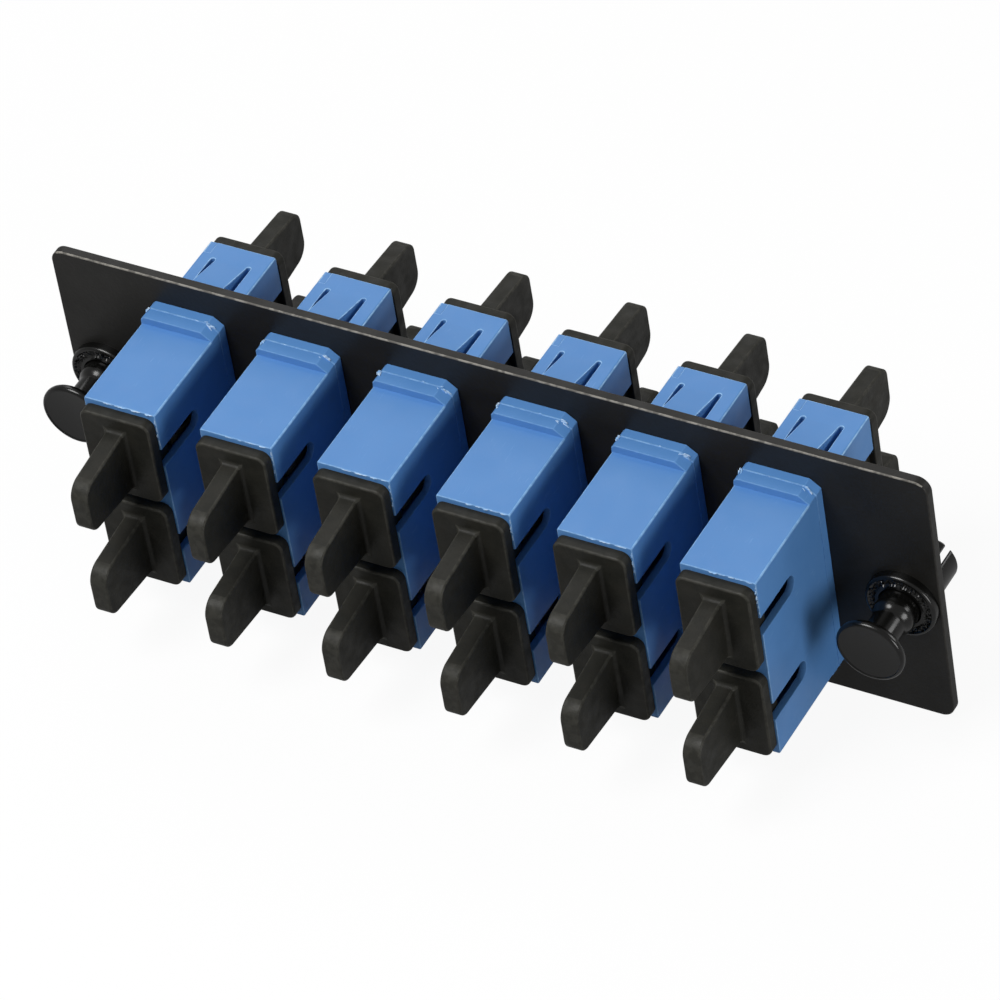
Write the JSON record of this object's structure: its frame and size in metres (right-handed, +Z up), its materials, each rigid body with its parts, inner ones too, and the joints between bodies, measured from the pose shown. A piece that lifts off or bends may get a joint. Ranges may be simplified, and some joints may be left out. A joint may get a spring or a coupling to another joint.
{
  "type": "fibre adapter plate",
  "caption": "Flat plate carrying a row of duplex fibre adapters through windows, each port closed by a pull-off dust cap, with a push-pull latch at each end.",
  "frame": {"origin": "centre of the plate's rear face, where it seats on the panel", "axes": "+X along the plate to its keyway side, +Y out of the plate's rear face, +Z up across its height"},
  "size_m": [0.1076, 0.0479, 0.0344],
  "materials": {
    "plate_black": "fine satin black powder coat",
    "adapter_blue": "moulded mid blue plastic, semi gloss",
    "cap_rubber": "matte charcoal elastomer",
    "latch_black": "glossy black plastic, pebbled on the grommet's flange",
    "holder_white": "natural white moulded plastic",
    "sleeve_ceramic": "polished white zirconia ceramic"
  },
  "bodies": {
    "adapter_plate": {"plate": "plate_black", "front_shell_1": "adapter_blue", "rear_shell_1": "adapter_blue", "sleeve_holders_1": "holder_white", "sleeves_1": "sleeve_ceramic", "front_shell_2": "adapter_blue", "rear_shell_2": "adapter_blue", "sleeve_holders_2": "holder_white", "sleeves_2": "sleeve_ceramic", "front_shell_3": "adapter_blue", "rear_shell_3": "adapter_blue", "sleeve_holders_3": "holder_white", "sleeves_3": "sleeve_ceramic", "front_shell_4": "adapter_blue", "rear_shell_4": "adapter_blue", "sleeve_holders_4": "holder_white", "sleeves_4": "sleeve_ceramic", "front_shell_5": "adapter_blue", "rear_shell_5": "adapter_blue", "sleeve_holders_5": "holder_white", "sleeves_5": "sleeve_ceramic", "front_shell_6": "adapter_blue", "rear_shell_6": "adapter_blue", "sleeve_holders_6": "holder_white", "sleeves_6": "sleeve_ceramic", "latch_grommet_left": "latch_black", "latch_grommet_right": "latch_black"},
    "front_cap_1_upper": {"front_cap_1_upper": "cap_rubber"},
    "front_cap_1_lower": {"front_cap_1_lower": "cap_rubber"},
    "front_cap_2_upper": {"front_cap_2_upper": "cap_rubber"},
    "front_cap_2_lower": {"front_cap_2_lower": "cap_rubber"},
    "front_cap_3_upper": {"front_cap_3_upper": "cap_rubber"},
    "front_cap_3_lower": {"front_cap_3_lower": "cap_rubber"},
    "front_cap_4_upper": {"front_cap_4_upper": "cap_rubber"},
    "front_cap_4_lower": {"front_cap_4_lower": "cap_rubber"},
    "front_cap_5_upper": {"front_cap_5_upper": "cap_rubber"},
    "front_cap_5_lower": {"front_cap_5_lower": "cap_rubber"},
    "front_cap_6_upper": {"front_cap_6_upper": "cap_rubber"},
    "front_cap_6_lower": {"front_cap_6_lower": "cap_rubber"},
    "rear_cap_1_upper": {"rear_cap_1_upper": "cap_rubber"},
    "rear_cap_1_lower": {"rear_cap_1_lower": "cap_rubber"},
    "rear_cap_2_upper": {"rear_cap_2_upper": "cap_rubber"},
    "rear_cap_2_lower": {"rear_cap_2_lower": "cap_rubber"},
    "rear_cap_3_upper": {"rear_cap_3_upper": "cap_rubber"},
    "rear_cap_3_lower": {"rear_cap_3_lower": "cap_rubber"},
    "rear_cap_4_upper": {"rear_cap_4_upper": "cap_rubber"},
    "rear_cap_4_lower": {"rear_cap_4_lower": "cap_rubber"},
    "rear_cap_5_upper": {"rear_cap_5_upper": "cap_rubber"},
    "rear_cap_5_lower": {"rear_cap_5_lower": "cap_rubber"},
    "rear_cap_6_upper": {"rear_cap_6_upper": "cap_rubber"},
    "rear_cap_6_lower": {"rear_cap_6_lower": "cap_rubber"},
    "latch_plunger_left": {"latch_plunger_left": "latch_black"},
    "latch_plunger_right": {"latch_plunger_right": "latch_black"}
  },
  "joints": [
    {"name": "front_cap_1_upper_pull", "type": "slide", "parent": "adapter_plate", "child": "front_cap_1_upper", "axis": [0, -1, 0], "range_m": [0, 0.012]},
    {"name": "front_cap_1_lower_pull", "type": "slide", "parent": "adapter_plate", "child": "front_cap_1_lower", "axis": [0, -1, 0], "range_m": [0, 0.012]},
    {"name": "front_cap_2_upper_pull", "type": "slide", "parent": "adapter_plate", "child": "front_cap_2_upper", "axis": [0, -1, 0], "range_m": [0, 0.012]},
    {"name": "front_cap_2_lower_pull", "type": "slide", "parent": "adapter_plate", "child": "front_cap_2_lower", "axis": [0, -1, 0], "range_m": [0, 0.012]},
    {"name": "front_cap_3_upper_pull", "type": "slide", "parent": "adapter_plate", "child": "front_cap_3_upper", "axis": [0, -1, 0], "range_m": [0, 0.012]},
    {"name": "front_cap_3_lower_pull", "type": "slide", "parent": "adapter_plate", "child": "front_cap_3_lower", "axis": [0, -1, 0], "range_m": [0, 0.012]},
    {"name": "front_cap_4_upper_pull", "type": "slide", "parent": "adapter_plate", "child": "front_cap_4_upper", "axis": [0, -1, 0], "range_m": [0, 0.012]},
    {"name": "front_cap_4_lower_pull", "type": "slide", "parent": "adapter_plate", "child": "front_cap_4_lower", "axis": [0, -1, 0], "range_m": [0, 0.012]},
    {"name": "front_cap_5_upper_pull", "type": "slide", "parent": "adapter_plate", "child": "front_cap_5_upper", "axis": [0, -1, 0], "range_m": [0, 0.012]},
    {"name": "front_cap_5_lower_pull", "type": "slide", "parent": "adapter_plate", "child": "front_cap_5_lower", "axis": [0, -1, 0], "range_m": [0, 0.012]},
    {"name": "front_cap_6_upper_pull", "type": "slide", "parent": "adapter_plate", "child": "front_cap_6_upper", "axis": [0, -1, 0], "range_m": [0, 0.012]},
    {"name": "front_cap_6_lower_pull", "type": "slide", "parent": "adapter_plate", "child": "front_cap_6_lower", "axis": [0, -1, 0], "range_m": [0, 0.012]},
    {"name": "rear_cap_1_upper_pull", "type": "slide", "parent": "adapter_plate", "child": "rear_cap_1_upper", "axis": [0, 1, 0], "range_m": [0, 0.012]},
    {"name": "rear_cap_1_lower_pull", "type": "slide", "parent": "adapter_plate", "child": "rear_cap_1_lower", "axis": [0, 1, 0], "range_m": [0, 0.012]},
    {"name": "rear_cap_2_upper_pull", "type": "slide", "parent": "adapter_plate", "child": "rear_cap_2_upper", "axis": [0, 1, 0], "range_m": [0, 0.012]},
    {"name": "rear_cap_2_lower_pull", "type": "slide", "parent": "adapter_plate", "child": "rear_cap_2_lower", "axis": [0, 1, 0], "range_m": [0, 0.012]},
    {"name": "rear_cap_3_upper_pull", "type": "slide", "parent": "adapter_plate", "child": "rear_cap_3_upper", "axis": [0, 1, 0], "range_m": [0, 0.012]},
    {"name": "rear_cap_3_lower_pull", "type": "slide", "parent": "adapter_plate", "child": "rear_cap_3_lower", "axis": [0, 1, 0], "range_m": [0, 0.012]},
    {"name": "rear_cap_4_upper_pull", "type": "slide", "parent": "adapter_plate", "child": "rear_cap_4_upper", "axis": [0, 1, 0], "range_m": [0, 0.012]},
    {"name": "rear_cap_4_lower_pull", "type": "slide", "parent": "adapter_plate", "child": "rear_cap_4_lower", "axis": [0, 1, 0], "range_m": [0, 0.012]},
    {"name": "rear_cap_5_upper_pull", "type": "slide", "parent": "adapter_plate", "child": "rear_cap_5_upper", "axis": [0, 1, 0], "range_m": [0, 0.012]},
    {"name": "rear_cap_5_lower_pull", "type": "slide", "parent": "adapter_plate", "child": "rear_cap_5_lower", "axis": [0, 1, 0], "range_m": [0, 0.012]},
    {"name": "rear_cap_6_upper_pull", "type": "slide", "parent": "adapter_plate", "child": "rear_cap_6_upper", "axis": [0, 1, 0], "range_m": [0, 0.012]},
    {"name": "rear_cap_6_lower_pull", "type": "slide", "parent": "adapter_plate", "child": "rear_cap_6_lower", "axis": [0, 1, 0], "range_m": [0, 0.012]},
    {"name": "latch_plunger_left_push", "type": "slide", "parent": "adapter_plate", "child": "latch_plunger_left", "axis": [0, 1, 0], "range_m": [-0.0006, 0.00505]},
    {"name": "latch_plunger_right_push", "type": "slide", "parent": "adapter_plate", "child": "latch_plunger_right", "axis": [0, 1, 0], "range_m": [0, 0.00565]}
  ]
}
